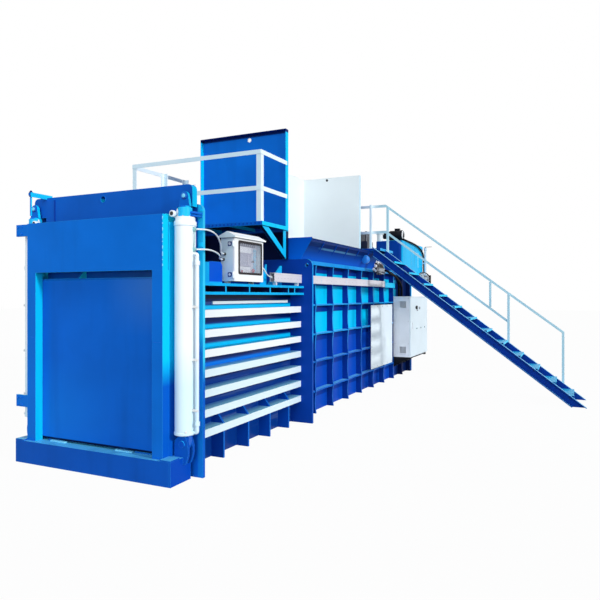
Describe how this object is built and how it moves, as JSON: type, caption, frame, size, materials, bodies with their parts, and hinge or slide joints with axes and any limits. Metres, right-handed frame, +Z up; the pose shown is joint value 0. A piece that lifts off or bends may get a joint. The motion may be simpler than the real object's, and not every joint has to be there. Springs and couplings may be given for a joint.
{
  "type": "horizontal recycling baler",
  "caption": "Horizontal channel baler with a lifting outlet gate, ribbed press box, open feed hopper, service platform, stairs, control box and hydraulic power unit.",
  "frame": {"origin": "floor level, under the middle of the outlet gate's sill", "axes": "+Z up; +Y from the outlet gate along the machine to the rear legs; +X towards the control box, loading lip and stairs"},
  "size_m": [5.318, 8.9975, 3.61],
  "materials": {
    "blue_paint": "glossy machine enamel",
    "white_paint": "semi-gloss enamel",
    "rail_paint": "semi-gloss enamel",
    "cabinet_paint": "textured powder coat",
    "tray_metal": "galvanised and lacquered sheet",
    "steel": "machined",
    "chrome_rod": "polished",
    "black_paint": "satin",
    "hose_rubber": "matt",
    "cable_sheath": "matt",
    "window": "clear",
    "panel_plastic": "satin",
    "screen": "gloss",
    "green_plastic": "gloss",
    "red_plastic": "gloss",
    "black_plastic": "satin",
    "filter_plastic": "satin"
  },
  "bodies": {
    "frame": {"gate_sill": "blue_paint", "gate_frame": "blue_paint", "lift_tubes": "white_paint", "lift_glands": "blue_paint", "cylinder_pins": "steel", "portal_plate": "blue_paint", "chamber_plates": "blue_paint", "side_channels": "white_paint", "floor_bearers": "blue_paint", "top_beams": "blue_paint", "mid_plate": "blue_paint", "press_plates": "blue_paint", "press_ribs": "blue_paint", "press_end_plate": "blue_paint", "fixed_blade": "steel", "rear_frame": "blue_paint", "power_deck": "blue_paint", "ram_cylinder": "blue_paint", "hopper_front": "blue_paint", "hopper_rear": "blue_paint", "hopper_left": "blue_paint", "loading_lip": "blue_paint", "platform_deck": "blue_paint", "handrails": "rail_paint", "stair_frame": "blue_paint", "stair_treads": "blue_paint", "cable_tray": "tray_metal", "sign_panel": "white_paint", "control_box_case": "cabinet_paint", "control_panel": "panel_plastic", "control_screen": "screen", "cabinet_case": "cabinet_paint", "oil_tank": "blue_paint", "pump_set": "black_paint", "return_filter": "filter_plastic", "valve_manifold": "steel", "gate_valve_block": "steel", "oil_cooler": "black_paint", "suction_pipe": "tray_metal", "hydraulic_hoses": "hose_rubber", "control_cables": "cable_sheath"},
    "gate": {"gate_panel": "blue_paint", "gate_beam": "blue_paint", "rod_ends": "blue_paint", "gate_pins": "steel", "lift_rods": "chrome_rod"},
    "ram": {"ram_shell": "blue_paint", "ram_blade": "steel", "ram_shoes": "steel", "ram_rod": "chrome_rod"},
    "control_door": {"control_box_door": "cabinet_paint", "control_box_window": "window"},
    "start_button": {"start_button": "green_plastic"},
    "stop_button": {"stop_button": "red_plastic"},
    "emergency_stop": {"emergency_stop": "red_plastic"},
    "selector_switch": {"selector_switch": "black_plastic"},
    "cabinet_door": {"cabinet_door": "cabinet_paint"},
    "main_switch": {"main_switch": "black_plastic"},
    "cooler_fan": {"cooler_fan": "filter_plastic"},
    "valve_lever": {"valve_lever": "black_plastic"}
  },
  "joints": [
    {"name": "gate_lift", "type": "slide", "parent": "frame", "child": "gate", "axis": [0, 0, 1], "range_m": [0, 1.28]},
    {"name": "ram_stroke", "type": "slide", "parent": "frame", "child": "ram", "axis": [0, -1, 0], "range_m": [0, 2.62]},
    {"name": "control_door_swing", "type": "hinge", "parent": "frame", "child": "control_door", "pos_m": [0.891, 0.7805, 1.9], "axis": [0, 0, -1], "range_deg": [0, 110]},
    {"name": "cabinet_door_swing", "type": "hinge", "parent": "frame", "child": "cabinet_door", "pos_m": [1.089, 7.4545, 0.969], "axis": [0, 0, 1], "range_deg": [0, 110]},
    {"name": "main_switch_turn", "type": "hinge", "parent": "cabinet_door", "child": "main_switch", "pos_m": [1.104, 6.56, 1.33], "axis": [1, 0, 0], "range_deg": [0, 90]},
    {"name": "start_button_press", "type": "slide", "parent": "frame", "child": "start_button", "axis": [-1, 0, 0], "range_m": [0, 0.004], "stiffness_N_per_m": 300, "springref_m": -0.004},
    {"name": "stop_button_press", "type": "slide", "parent": "frame", "child": "stop_button", "axis": [-1, 0, 0], "range_m": [0, 0.004], "stiffness_N_per_m": 300, "springref_m": -0.004},
    {"name": "emergency_stop_press", "type": "slide", "parent": "frame", "child": "emergency_stop", "axis": [-1, 0, 0], "range_m": [0, 0.004], "stiffness_N_per_m": 300, "springref_m": -0.004},
    {"name": "selector_turn", "type": "hinge", "parent": "frame", "child": "selector_switch", "pos_m": [0.83, 1.205, 1.904], "axis": [1, 0, 0], "range_deg": [-45, 45]},
    {"name": "cooler_fan_spin", "type": "hinge", "parent": "frame", "child": "cooler_fan", "pos_m": [0.905, 7.85, 1.906], "axis": [0, 1, 0], "continuous": true},
    {"name": "suction_valve_turn", "type": "hinge", "parent": "frame", "child": "valve_lever", "pos_m": [0.725, 8.76, 2.67], "axis": [0, 0, 1], "range_deg": [0, 90]}
  ]
}
